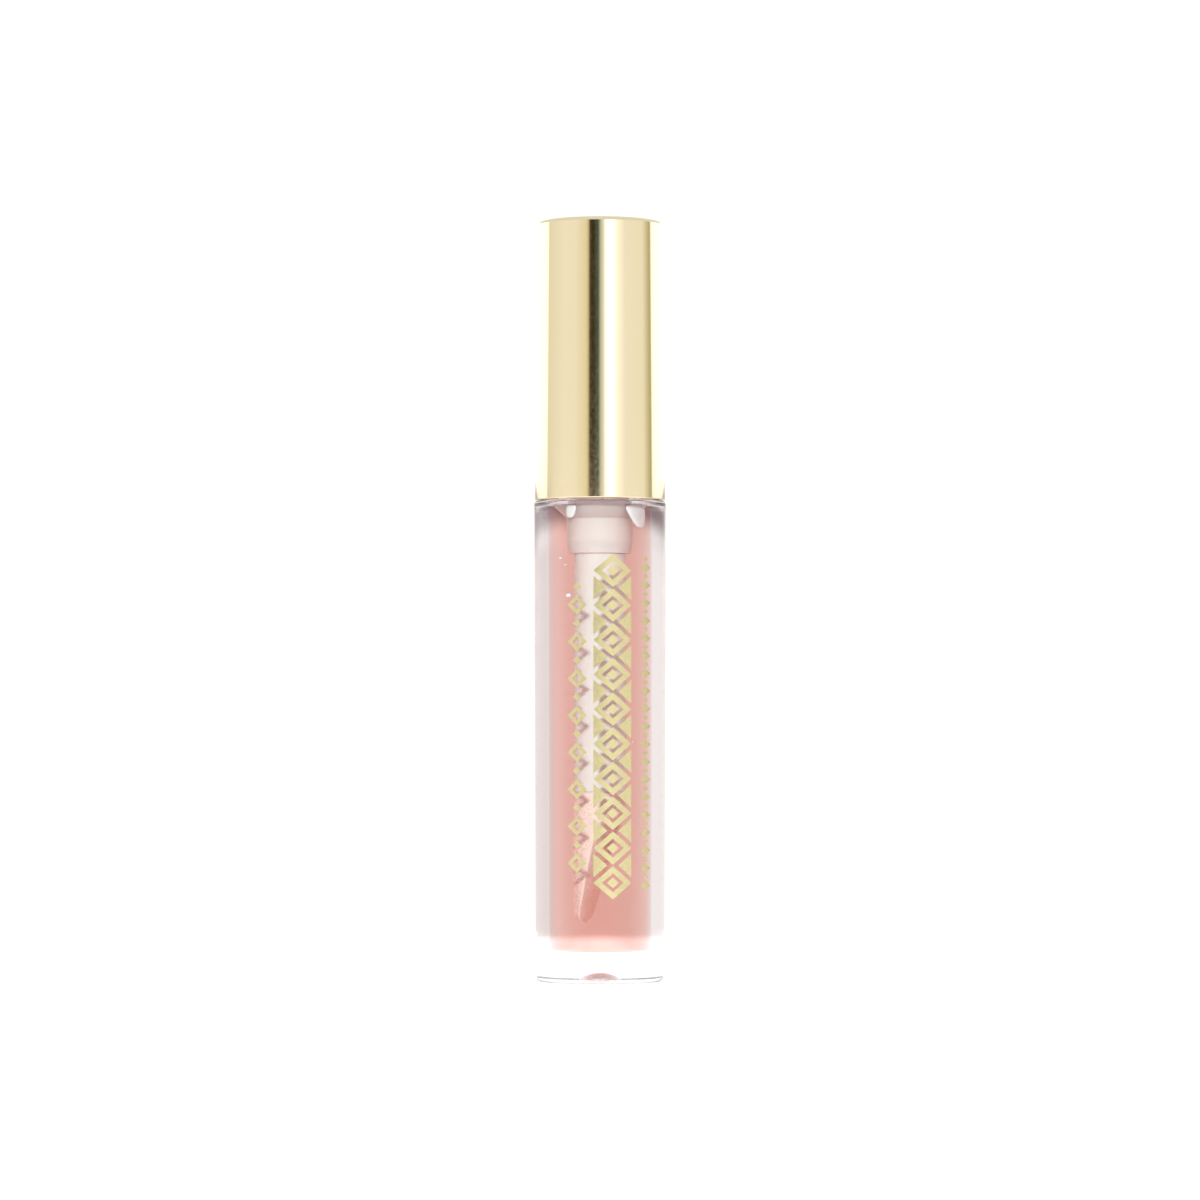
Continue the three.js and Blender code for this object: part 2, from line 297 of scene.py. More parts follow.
def held(profile):
    """The profile with a point close to each end of its long straights, which keeps them straight
    when the mesh is smooth shaded."""
    points = [profile[0]]
    for start, end in zip(profile, profile[1:]):
        length = math.dist(start, end)
        if length > LONG_STRAIGHT:
            for share in (HOLDING / length, 0.5, 1 - HOLDING / length):
                points.append(tuple(a + (b - a) * share for a, b in zip(start, end)))
        points.append(end)
    return points


def finish_mesh(mesh, name):
    """Turns a mesh under construction into mesh data."""
    data = bpy.data.meshes.new(name)
    mesh.to_mesh(data)
    mesh.free()
    return data


def point_at(radius, angle, height):
    """A point in metres, from a radius, an angle to the right of the front, and a height."""
    return Vector((radius * math.sin(angle), -radius * math.cos(angle), height)) * MM


def turned(name, profile, segments=SEGMENTS, shape=None):
    """A mesh turned about the Z axis from (radius, height) points, going up on its outside.

    A profile that starts or ends off the axis is joined end to start. shape(angle, radius, height)
    gives a different radius, for threads and ribs.
    """
    profile = held(profile)
    mesh = bmesh.new()
    rings = []
    for radius, height in profile:
        if radius < TINY:
            rings.append([mesh.verts.new((0, 0, height * MM))])
            continue
        ring = []
        for i in range(segments):
            angle = 2 * math.pi * i / segments
            reach = shape(angle, radius, height) if shape else radius
            ring.append(mesh.verts.new(point_at(reach, angle, height)))
        rings.append(ring)
    pairs = list(zip(rings, rings[1:]))
    if len(rings[0]) > 1:
        pairs.append((rings[-1], rings[0]))
    for low, high in pairs:
        for i in range(segments):
            j = (i + 1) % segments
            if len(low) == 1:
                mesh.faces.new((low[0], high[j], high[i]))
            elif len(high) == 1:
                mesh.faces.new((low[i], low[j], high[0]))
            else:
                mesh.faces.new((low[i], low[j], high[j], high[i]))
    return finish_mesh(mesh, name)


def add_object(name, data):
    added = bpy.data.objects.new(name, data)
    bpy.context.scene.collection.objects.link(added)
    return added


def add_piece(name, data, materials, body, nodes=(), crease=40):
    """Shows a mesh as a piece that rides on a body and stands for the given CAD nodes."""
    piece = add_object(name, data)
    for material in materials:
        data.materials.append(material)
    data.shade_smooth()
    data.set_sharp_from_angle(angle=math.radians(crease))
    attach(piece, body)
    if nodes:
        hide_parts(*nodes)
    return piece


# ---------------------------------------------------------------- materials
def new_material(name):
    """A new material, as itself, its node tree, its Principled shader and its output node."""
    material = bpy.data.materials.new(name)
    material.use_nodes = True
    tree = material.node_tree
    return material, tree, tree.nodes["Principled BSDF"], tree.nodes["Material Output"]


def set_values(node, **values):
    """Sets a node's sockets; an underscore in a name stands for a space."""
    for socket, value in values.items():
        node.inputs[socket.replace("_", " ")].default_value = value


def add_noise(tree, scale, detail=2.0, stretch=(1, 1, 1)):
    """Noise in the piece's own coordinates, whose unit is the metre."""
    place = tree.nodes.new("ShaderNodeTexCoord")
    mapping = tree.nodes.new("ShaderNodeMapping")
    mapping.inputs["Scale"].default_value = stretch
    noise = tree.nodes.new("ShaderNodeTexNoise")
    set_values(noise, Scale=scale, Detail=detail)
    tree.links.new(place.outputs["Object"], mapping.inputs["Vector"])
    tree.links.new(mapping.outputs["Vector"], noise.inputs["Vector"])
    return noise.outputs["Fac"]


def vary(tree, value, low, high):
    """Spreads noise over a range."""
    least, most = NOISE_SPREAD
    spread = tree.nodes.new("ShaderNodeMapRange")
    set_values(spread, From_Min=least, From_Max=most, To_Min=low, To_Max=high)
    tree.links.new(value, spread.inputs["Value"])
    return spread.outputs["Result"]


def ease(tree, value, start, end, first, last):
    """Goes smoothly from first to last as a value goes from start to end."""
    change = tree.nodes.new("ShaderNodeMapRange")
    change.interpolation_type = "SMOOTHSTEP"
    set_values(change, From_Min=start, From_Max=end, To_Min=first, To_Max=last)
    tree.links.new(value, change.inputs["Value"])
    return change.outputs["Result"]


def add_bump(tree, shader, value, distance):
    """Fine relief from noise; distance is in millimetres."""
    bump = tree.nodes.new("ShaderNodeBump")
    set_values(bump, Distance=distance * MM, Strength=1.0)
    tree.links.new(value, bump.inputs["Height"])
    tree.links.new(bump.outputs["Normal"], shader.inputs["Normal"])


def mottle(tree, shader, value, light, dark):
    """Colour that drifts between two shades."""
    ramp = tree.nodes.new("ShaderNodeValToRGB")
    for element, position, colour in zip(ramp.color_ramp.elements, MOTTLE_SPREAD, (dark, light)):
        element.position = position
        element.color = (*colour, 1)
    tree.links.new(value, ramp.inputs["Fac"])
    tree.links.new(ramp.outputs["Color"], shader.inputs["Base Color"])


def let_lamps_through(tree, shader, output):
    """Lamp light passes straight through clear material, which keeps the print's shadows crisp."""
    path = tree.nodes.new("ShaderNodeLightPath")
    open_way = tree.nodes.new("ShaderNodeBsdfTransparent")
    mix = tree.nodes.new("ShaderNodeMixShader")
    tree.links.new(path.outputs["Is Shadow Ray"], mix.inputs["Fac"])
    tree.links.new(shader.outputs["BSDF"], mix.inputs[1])
    tree.links.new(open_way.outputs["BSDF"], mix.inputs[2])
    tree.links.new(mix.outputs["Shader"], output.inputs["Surface"])


def clear_plastic(name, ior, haze=0.015, clearness=1.0, tint=(0.985, 0.978, 0.985)):
    """Clear moulded plastic, with a faint uneven haze on its surface."""
    material, tree, shader, output = new_material(name)
    set_values(shader, Base_Color=(*tint, 1), IOR=ior, Transmission_Weight=clearness)
    drift = add_noise(tree, 900, 3)
    tree.links.new(vary(tree, drift, haze * 0.3, haze), shader.inputs["Roughness"])
    let_lamps_through(tree, shader, output)
    return material


def gloss_liquid():
    """Clear liquid with its own tint. Its surface bends no light, because the vial's wetted bore
    bends it for both."""
    material, tree, shader, output = new_material("gloss_liquid")
    set_values(shader, Base_Color=(1, 1, 1, 1), Roughness=0.0, IOR=1.0, Transmission_Weight=1.0)
    let_lamps_through(tree, shader, output)
    tint = tree.nodes.new("ShaderNodeVolumeAbsorption")
    set_values(tint, Color=(0.864, 0.34, 0.23, 1), Density=GLOSS_STRENGTH)
    tree.links.new(tint.outputs["Volume"], output.inputs["Volume"])
    return material


def moulded(name, light, dark, roughness, subsurface=0.0, coat=0.0):
    """Moulded plastic: a slight drift in shade and a satin, faintly pebbled surface."""
    material, tree, shader, _ = new_material(name)
    drift = add_noise(tree, 350, 3)
    mottle(tree, shader, drift, light, dark)
    fine = add_noise(tree, 2600, 2)
    tree.links.new(vary(tree, fine, roughness - 0.06, roughness + 0.06), shader.inputs["Roughness"])
    add_bump(tree, shader, fine, 0.004)
    set_values(
        shader,
        Subsurface_Weight=subsurface,
        Subsurface_Scale=1.5 * MM,
        Coat_Weight=coat,
        Coat_Roughness=0.05,
    )
    shader.inputs["Subsurface Radius"].default_value = (1.0, 0.8, 0.7)
    return material


def gold_metallised():
    """Pale gold under lacquer, almost a mirror."""
    material, tree, shader, _ = new_material("gold_metallised")
    drift = add_noise(tree, 120, 2, (1, 1, 0.3))
    mottle(tree, shader, drift, (0.935, 0.82, 0.545), (0.925, 0.81, 0.53))
    fine = add_noise(tree, 1800, 3)
    tree.links.new(vary(tree, fine, 0.05, 0.09), shader.inputs["Roughness"])
    set_values(shader, Metallic=1.0, Specular_IOR_Level=0.5)
    add_bump(tree, shader, fine, 0.0004)
    return material


def hot_foil():
    """Foil that took some grain from the wall it was pressed on."""
    material, tree, shader, _ = new_material("hot_foil")
    grain = add_noise(tree, 2500, 4)
    mottle(tree, shader, grain, (0.68, 0.635, 0.355), (0.61, 0.565, 0.30))
    tree.links.new(vary(tree, grain, 0.28, 0.42), shader.inputs["Roughness"])
    set_values(shader, Metallic=1.0)
    add_bump(tree, shader, grain, 0.003)
    return material


def flock_fibre():
    """Short nylon fibres, tinted by the gloss that wets them."""
    material, tree, shader, _ = new_material("flock_fibre")
    clumps = add_noise(tree, 1500, 4)
    mottle(tree, shader, clumps, (0.83, 0.71, 0.67), (0.80, 0.68, 0.64))
    set_values(shader, Roughness=0.75, Sheen_Weight=0.05, Sheen_Roughness=0.4)
    add_bump(tree, shader, add_noise(tree, 5000, 3), 0.03)
    return material


def air_painted_reflection():
    """Air in the gloss, as an opaque pale surface: a painted reflection of the light its walls throw
    back.
    """
    material, tree, shader, _ = new_material("air_painted_reflection")
    drift = add_noise(tree, 900, 2)
    mottle(tree, shader, drift, (0.77, 0.62, 0.61), (0.70, 0.56, 0.55))
    set_values(shader, Roughness=0.15)
    return material


# ---------------------------------------------------------------- the vial and what it holds
def vial_profile():
    """The vial's section, from the middle of its base up the outside and down the bore."""
    ball = (DIMPLE_RADIUS**2 + DIMPLE_DEPTH**2) / (2 * DIMPLE_DEPTH)
    spread = math.degrees(math.asin(DIMPLE_RADIUS / ball))
    shoulder = VIAL_HEIGHT - SHOULDER_FILLET
    neck_foot = VIAL_HEIGHT + NECK_CHAMFER
    neck_head = NECK_TOP - NECK_CHAMFER
    return [
        (0, DIMPLE_DEPTH),
        *arc(0, DIMPLE_DEPTH - ball, ball, 90, 90 - spread, 16)[1:-1],
        *arc(DIMPLE_RADIUS + DIMPLE_EDGE, DIMPLE_EDGE, DIMPLE_EDGE, -150, -90, 4),
        *arc(VIAL_BASE_RADIUS - BASE_FILLET, BASE_FILLET, BASE_FILLET, -90, 0, 12),
        *arc(VIAL_SHOULDER_RADIUS - SHOULDER_FILLET, shoulder, SHOULDER_FILLET, 0, 90, 10),
        *arc(NECK_ROOT + NECK_CHAMFER, neck_foot, NECK_CHAMFER, -90, -180, 6)[:-1],
        *straight((NECK_ROOT, neck_foot), (NECK_ROOT, neck_head), THREAD_STEP),
        *arc(NECK_ROOT - NECK_CHAMFER, neck_head, NECK_CHAMFER, 0, 90, 6),
        *arc(bore_at(NECK_TOP) + MOUTH_CHAMFER, NECK_TOP - MOUTH_CHAMFER, MOUTH_CHAMFER, 90, 180, 4),
        (bore_at(FILL_LEVEL), FILL_LEVEL),
        *arc(bore_at(FLOOR) - FLOOR_FILLET, FLOOR + FLOOR_FILLET, FLOOR_FILLET, 0, -90, 8),
        (0, FLOOR),
    ]


def threaded_neck(angle, radius, height):
    """The neck's radius with its thread; elsewhere the radius as given."""
    on_neck = VIAL_HEIGHT + NECK_CHAMFER < height < NECK_TOP - NECK_CHAMFER
    if abs(radius - NECK_ROOT) > CLOSE or not on_neck:
        return radius
    return radius + (NECK_CREST - NECK_ROOT) * thread_height(angle, height, THREAD_START)


def vial_finish(middle):
    """Which of the vial's materials a face has, from its middle in millimetres."""
    inside = math.hypot(middle.x, middle.y) < BORE_RADIUS + 2 * BORE_DRAFT
    if 0 < middle.z < BASE_FILLET or (inside and 0 < middle.z < DIMPLE_DEPTH + CLOSE):
        return FROSTED
    if inside and FLOOR - CLOSE < middle.z < FILL_LEVEL:
        return WETTED
    # the shoulder's fillet takes the clear plastic tinted dark as painted shade under the cap
    if not inside and SHOULDER_FILLET > VIAL_HEIGHT - middle.z > TINY:
        return SHADED_FILLET
    return WALL


def make_vial(materials):
    """The clear vial; its materials come in the order of its slots."""
    data = turned("vial_wall", vial_profile(), shape=threaded_neck)
    add_piece("vial_wall", data, materials, "container", ["vial"])
    for face in data.polygons:
        face.material_index = vial_finish(face.center / MM)


def make_gloss(liquid):
    """The fill as one full body, in which the wiper, the air and the applicator stand."""
    bottom = FLOOR + LIQUID_GAP
    side = bore_at(bottom) - LIQUID_GAP
    profile = [
        (0, bottom),
        *arc(side - FLOOR_FILLET, bottom + FLOOR_FILLET, FLOOR_FILLET, -90, 0, 8),
        (bore_at(FILL_LEVEL) - LIQUID_GAP, FILL_LEVEL),
        (0, FILL_LEVEL),
    ]
    add_piece("gloss_fill", turned("gloss_fill", profile), [liquid], "container", ["gloss"])


def make_wiper(milky, painted_shade_flare):
    """The plug in the neck: flange, barrel, cone, and a thin tube that narrows to its lip."""
    flange_bottom = NECK_TOP + WIPER_SEAT_GAP
    corners = [
        (WIPER_LIP, WIPER_BOTTOM),
        (WIPER_END, WIPER_BOTTOM),
        (WIPER_TUBE, WIPER_BOTTOM + WIPER_TAPER),
        (WIPER_TUBE, WIPER_CONE_END),
        (bore_at(WIPER_BARREL_END) - WIPER_GAP, WIPER_BARREL_END - WIPER_BARREL_DROP),
        (bore_at(flange_bottom) - WIPER_GAP, flange_bottom),
        (WIPER_FLANGE, flange_bottom),
        (WIPER_FLANGE, WIPER_TOP),
        (WIPER_BARREL, WIPER_TOP),
        (WIPER_BARREL, WIPER_BARREL_END),
        (WIPER_TUBE_BORE, WIPER_CONE_END),
        (WIPER_TUBE_BORE, WIPER_BOTTOM + WIPER_LIP_CONE_END),
        (WIPER_LIP, WIPER_BOTTOM + WIPER_LIP_HEIGHT),
    ]
    data = turned("wiper_plug", rounded(corners, WIPER_ROUNDING))
    add_piece("wiper_plug", data, [milky, painted_shade_flare], "container", ["wiper"])
    # painted shade: faces above the cone's end take a darker copy of the polythene, for the shade in
    # the neck behind the thin flare
    for face in data.polygons:
        face.material_index = int(face.center.z > WIPER_CONE_END * MM)


def make_air_pocket(name, angles, heights, depth, pinch, material):
    """A flat bubble caught against the bore wall under the wiper's cone.

    pinch is how much narrower its foot is than its head; its outer side stays upright.
    """
    mesh = bmesh.new()
    bmesh.ops.create_icosphere(mesh, subdivisions=4, radius=1.0)
    middle_height = sum(heights) / 2
    half_height = (heights[1] - heights[0]) / 2
    for vert in mesh.verts:
        x, y, z = (math.copysign(abs(c) ** POCKET_SQUARENESS, c) for c in vert.co)
        across = (x + 1) / 2 * (1 - pinch * (1 - z) / 2)
        angle = math.radians(angles[1] + (angles[0] - angles[1]) * across)
        height = middle_height + z * half_height
        outer = bore_at(height) - LIQUID_GAP / 2
        radius = outer - depth / 2 + y * depth / 2
        vert.co = point_at(radius, angle, height)
    bmesh.ops.recalc_face_normals(mesh, faces=mesh.faces)
    add_piece(name, finish_mesh(mesh, name), [material], "container")


def make_bubbles(material):
    """Small bubbles held in the thick liquid, close to the bore's wall."""
    mesh = bmesh.new()
    for degrees, height, radius in BUBBLES:
        reach = bore_at(height) - radius - LIQUID_GAP
        made = bmesh.ops.create_icosphere(mesh, subdivisions=3, radius=radius * MM)
        centre = point_at(reach, math.radians(degrees), height)
        bmesh.ops.translate(mesh, verts=made["verts"], vec=centre)
    add_piece("bubbles", finish_mesh(mesh, "bubbles"), [material], "container")


# ---------------------------------------------------------------- the foil print
def diamond(width, height):
    """A diamond, as a list of its one outline."""
    return [[(0, -height / 2), (width / 2, 0), (0, height / 2), (-width / 2, 0)]]


def diamond_ring(width, height, stroke):
    """A diamond outline, as its left and right halves."""
    inner_width = width - 2 * stroke
    inner_height = height * inner_width / width
    halves = []
    for side in (-1, 1):
        outer = [(0, -height / 2), (side * width / 2, 0), (0, height / 2)]
        inner = [(0, inner_height / 2), (side * inner_width / 2, 0), (0, -inner_height / 2)]
        halves.append((outer + inner)[::side])
    return halves


def edge_triangle(width, height, side):
    """A triangle that stands on the column's left (-1) or right (1) edge and points inwards."""
    points = [(0, -height / 2), (0, height / 2), (-side * width, 0)]
    return [points[::side]]


def wrap_print(name, outlines, material):
    """Foil shapes, as outlines of (distance round the wall, height), laid on the vial's front."""
    mesh = bmesh.new()
    for outline in outlines:
        flat = [mesh.verts.new((x, 0, z)) for x, z in outline]
        mesh.faces.new(flat)
    for i in range(-PRINT_CUTS, PRINT_CUTS + 1):
        geometry = mesh.verts[:] + mesh.edges[:] + mesh.faces[:]
        cut = (i * PRINT_STEP, 0, 0)
        bmesh.ops.bisect_plane(mesh, geom=geometry, plane_co=cut, plane_no=(1, 0, 0))
    made = bmesh.ops.extrude_face_region(mesh, geom=mesh.faces[:])
    outer = {v for v in made["geom"] if isinstance(v, bmesh.types.BMVert)}
    for vert in mesh.verts:
        x, _, z = vert.co
        wall = VIAL_BASE_RADIUS + (VIAL_SHOULDER_RADIUS - VIAL_BASE_RADIUS) * z / VIAL_HEIGHT
        radius = wall + PRINT_LIFT + (PRINT_THICKNESS if vert in outer else 0)
        vert.co = point_at(radius, x / wall, z)
    bmesh.ops.recalc_face_normals(mesh, faces=mesh.faces)
    add_piece(name, finish_mesh(mesh, name), [material], "container", crease=25)


def moved(outlines, x, z):
    return [[(x + px, z + pz) for px, pz in outline] for outline in outlines]


def bead_column(start, pitch, count, motif, bead):
    """An upright column in which a motif and a bead take turns."""
    x, z = start
    outlines = []
    for i in range(count):
        outlines += moved(bead if i % 2 else motif, x, z + i * pitch)
    return outlines


def large_column():
    """Nested diamonds, with a pair of triangles between each two."""
    x, z = LARGE_START
    outlines = []
    for i in range(LARGE_COUNT):
        middle = z + i * LARGE_PITCH
        outlines += moved(diamond_ring(*LARGE_RING), x, middle)
        outlines += moved(diamond(*LARGE_CORE), x, middle)
        if i == LARGE_COUNT - 1:
            break
        for side in (-1, 1):
            triangle = edge_triangle(*LARGE_TRIANGLE, side)
            outlines += moved(triangle, x + side * LARGE_HALF_WIDTH, middle + LARGE_PITCH / 2)
    return outlines


def make_print(foil):
    """A plain ornament of nested diamonds and small beads in three upright columns."""
    ring, bead = diamond_ring(*SMALL_RING), diamond(*SMALL_BEAD)
    small = bead_column(SMALL_START, SMALL_PITCH, SMALL_COUNT, ring, bead)
    motif, dot = diamond(*FINE_DIAMOND), diamond(*FINE_BEAD)
    fine = bead_column(FINE_START, FINE_PITCH, FINE_COUNT, motif, dot)
    wrap_print("print_large", large_column(), foil)
    wrap_print("print_small", small, foil)
    wrap_print("print_fine", fine, foil)


# ---------------------------------------------------------------- the applicator
def make_stem(plastic):
    """The rod, with the collar that stops it in the inner cap."""
    edge = STEM_CHAMFER
    foot = STEM_FOOT_FILLET
    head = STEM_HEAD_FILLET
    profile = [
        (0, STEM_BOTTOM),
        *arc(STEM_RADIUS - foot, STEM_BOTTOM + foot, foot, -90, 0, 4),
        (STEM_RADIUS, STEM_COLLAR_BOTTOM - edge),
        (STEM_COLLAR - edge, STEM_COLLAR_BOTTOM),
        (STEM_COLLAR, STEM_COLLAR_BOTTOM + edge),
        (STEM_COLLAR, STEM_COLLAR_TOP),
        (STEM_RADIUS, STEM_COLLAR_TOP),
        (STEM_RADIUS, STEM_TOP - head),
        *arc(STEM_RADIUS - head, STEM_TOP - head, head, 0, 90, 6),
        (0, STEM_TOP),
    ]
    data = turned("applicator_rod", profile, ROD_SEGMENTS)
    add_piece("applicator_rod", data, [plastic], "rod", ["stem"])


def face_reach(height):
    """How far the tip's slanting face stands from the axis at a height."""
    points = TIP_FACE[::-1]
    for (x0, z0), (x1, z1) in zip(points, points[1:]):
        if z0 <= height <= z1:
            even = (height - z0) / (z1 - z0)
            eased = even * even * (3 - 2 * even)
            return x0 + (x1 - x0) * (eased * TIP_EASING + even * (1 - TIP_EASING))
    return TIP_RADIUS


def tip_section(height, inset):
    """One cross-section of the doe foot: a circle with its front sliced off."""
    low = TIP_BOTTOM + TIP_RADIUS
    radius = TIP_RADIUS
    if height < low:
        radius = math.sqrt(TIP_RADIUS**2 - (low - height) ** 2)
    radius -= inset
    reach = min(face_reach(height) - inset, radius * TIP_FULLEST)
    corner = math.acos(max(-TIP_FULLEST, reach / radius))
    points = []
    round_count = TIP_POINTS * 2 // 3
    for i in range(round_count):
        angle = corner + (2 * math.pi - 2 * corner) * i / round_count
        points.append(Vector((radius * math.cos(angle), radius * math.sin(angle), height)))
    side = radius * math.sin(corner)
    flat_count = TIP_POINTS - round_count
    for i in range(flat_count):
        across = -side + 2 * side * (i / flat_count)
        points.append(Vector((radius * math.cos(corner), across, height)))
    return points


def doe_foot(name, inset, bottom):
    """The slanted tip as a closed mesh, softened along its edges."""
    mesh = bmesh.new()
    rings = []
    rows = round((TIP_TOP - bottom) / TIP_STEP)
    for row in range(rows + 1):
        section = tip_section(bottom + (TIP_TOP - bottom) * row / rows, inset)
        rings.append([mesh.verts.new(point) for point in section])
    for low, high in zip(rings, rings[1:]):
        for i in range(TIP_POINTS):
            j = (i + 1) % TIP_POINTS
            mesh.faces.new((low[i], low[j], high[j], high[i]))
    mesh.faces.new(rings[0][::-1])
    mesh.faces.new(rings[-1])
    for _ in range(TIP_SMOOTHING):
        bmesh.ops.smooth_vert(
            mesh, verts=mesh.verts, factor=0.5, use_axis_x=True, use_axis_y=True, use_axis_z=False
        )
    bmesh.ops.rotate(
        mesh, verts=mesh.verts, matrix=Matrix.Rotation(TIP_TURN, 3, "Z"), cent=(0, 0, 0)
    )
    bmesh.ops.scale(mesh, vec=(MM, MM, MM), verts=mesh.verts)
    bmesh.ops.triangulate(mesh, faces=[f for f in mesh.faces if len(f.verts) > 4])
    bmesh.ops.recalc_face_normals(mesh, faces=mesh.faces)
    return finish_mesh(mesh, name)


def make_fibres(data, count, length, width):
    """Short fibres that stand on a mesh's faces and end in a point, in a mesh of their own."""
    rng = random.Random(FIBRE_SEED)
    data.calc_loop_triangles()
    triangles = list(data.loop_triangles)
    weights = [t.area for t in triangles]
    fibres = bmesh.new()
    for triangle in rng.choices(triangles, weights, k=count):
        a, b, c = (data.vertices[i].co for i in triangle.vertices)
        u, v = sorted((rng.random(), rng.random()))
        root = a * u + b * (v - u) + c * (1 - v)
        lean = Vector([rng.gauss(mean, FIBRE_SPREAD) for mean in (0, 0, -FIBRE_DROOP)])
        way = (triangle.normal + lean).normalized()
        side = way.orthogonal().normalized()
        other = way.cross(side)
        tall = length * rng.uniform(*FIBRE_LENGTHS)
        base = [
            fibres.verts.new(root - way * width + (side * math.cos(t) + other * math.sin(t)) * width)
            for t in (0, 2 * math.pi / 3, 4 * math.pi / 3)
        ]
        top = fibres.verts.new(root + way * tall)
        fibres.faces.new(base[::-1])
        for i in range(3):
            fibres.faces.new((base[i], base[(i + 1) % 3], top))
    return finish_mesh(fibres, "flock_fibres")


def make_tip(core, flock):
    """The doe foot: its soft core, the sleeve of flock on it, and the flock's fibres."""
    core_data = doe_foot("tip_core_fine", CORE_INSET, CORE_BOTTOM)
    add_piece("doe_foot_core", core_data, [core], "cap", ["tip_core"])
    flock_data = doe_foot("flock_fine", FLOCK_INSET, FLOCK_BOTTOM)
    add_piece("flock_sleeve", flock_data, [flock], "cap", ["tip_flock"])
    count = FIBRES
    fibres = make_fibres(flock_data, count, FIBRE_LENGTH * MM, FIBRE_WIDTH * MM)
    add_piece("flock_fibres", fibres, [flock], "cap")


# ---------------------------------------------------------------- the cap
def inner_cap_profile():
    """The inner cap's section, from its foot up the outside, round the sleeve and down the thread."""
    flange_top = INNER_BOTTOM + INNER_FLANGE_HEIGHT
    flange_edge = INNER_FLANGE - INNER_CHAMFER
    deck = INNER_DECK_TOP - INNER_FILLET
    skirt_foot = (INNER_SKIRT, flange_top + INNER_CHAMFER)
    thread_foot = (INNER_ROOT, INNER_BOTTOM + INNER_LEAD_IN)
    hole = STEM_RADIUS + INNER_ROD_GAP
    fillet = INNER_SLEEVE_FILLET
    sleeve_edge = INNER_SLEEVE - INNER_SLEEVE_DRAFT - fillet
    seal = WIPER_TOP + SEAL_GAP
    return [
        (INNER_ROOT + INNER_LEAD_IN, INNER_BOTTOM),
        (flange_edge, INNER_BOTTOM),
        (INNER_FLANGE, INNER_BOTTOM + INNER_CHAMFER),
        (INNER_FLANGE, flange_top - INNER_CHAMFER),
        (flange_edge, flange_top),
        *straight(skirt_foot, (INNER_SKIRT_TOP, deck), INNER_SKIRT_STEP),
        *arc(INNER_SKIRT_TOP - INNER_FILLET, deck, INNER_FILLET, 0, 90, 4),
        *arc(INNER_SLEEVE + INNER_FILLET, INNER_DECK_TOP + INNER_FILLET, INNER_FILLET, -90, -180, 4),
        *arc(sleeve_edge, INNER_SLEEVE_TOP - fillet, fillet, 0, 90, 3),
        (hole + fillet, INNER_SLEEVE_TOP),
        (hole, INNER_SLEEVE_TOP - INNER_LEAD_IN),
        (hole, INNER_DECK_BOTTOM),
        (SEAL_INNER, INNER_DECK_BOTTOM),
        (SEAL_INNER, seal),
        (SEAL_OUTER - SEAL_CHAMFER, seal),
        (SEAL_OUTER, seal + SEAL_CHAMFER),
        (SEAL_OUTER, INNER_DECK_BOTTOM),
        *straight((INNER_ROOT, INNER_DECK_BOTTOM), thread_foot, THREAD_STEP),
        thread_foot,
    ]


def threaded_and_ribbed(angle, radius, height):
    """The inner cap's radius with its thread inside and its ribs outside."""
    if abs(radius - INNER_ROOT) < CLOSE and height < INNER_DECK_BOTTOM:
        ridge = thread_height(angle, height, THREAD_START - THREAD_PITCH / 2)
        return radius - (INNER_ROOT - INNER_CREST) * ridge
    if INNER_SKIRT_TOP <= radius < INNER_SKIRT and height > INNER_BOTTOM + INNER_RIB_START:
        ribbed = math.cos(angle * INNER_RIBS) > INNER_RIB_WAVE
        return radius + (INNER_RIB_HEIGHT if ribbed else 0)
    return radius


def make_inner_cap(plastic):
    data = turned("inner_cap_moulding", inner_cap_profile(), shape=threaded_and_ribbed)
    add_piece("inner_cap_moulding", data, [plastic], "cap", ["inner_cap"], crease=30)


def make_cap_shell(gold):
    """The thin gold sleeve with its flat top."""
    inside = CAP_TOP - CAP_ROOF
    inner_top = CAP_TOP_RADIUS - CAP_WALL
    inner_foot = CAP_BOTTOM_RADIUS - CAP_WALL
    edge = CAP_INNER_FILLET
    profile = [
        (0, inside),
        *arc(inner_top - edge, inside - edge, edge, 90, 0, 4),
        (inner_foot, CAP_BOTTOM + CAP_RIM),
        (inner_foot + CAP_RIM_CHAMFER, CAP_BOTTOM),
        *arc(CAP_BOTTOM_RADIUS - CAP_RIM, CAP_BOTTOM + CAP_RIM, CAP_RIM, -90, 0, 6),
        *arc(CAP_TOP_RADIUS - CAP_FILLET, CAP_TOP - CAP_FILLET, CAP_FILLET, 0, 90, 14),
        *straight((CAP_TOP_RADIUS - CAP_FILLET - CAP_TOP_EDGE, CAP_TOP), (0, CAP_TOP), CAP_TOP_STEP),
        (0, CAP_TOP),
    ]
    data = turned("cap_overshell", profile)
    add_piece("cap_overshell", data, [gold], "cap", ["cap_shell"])


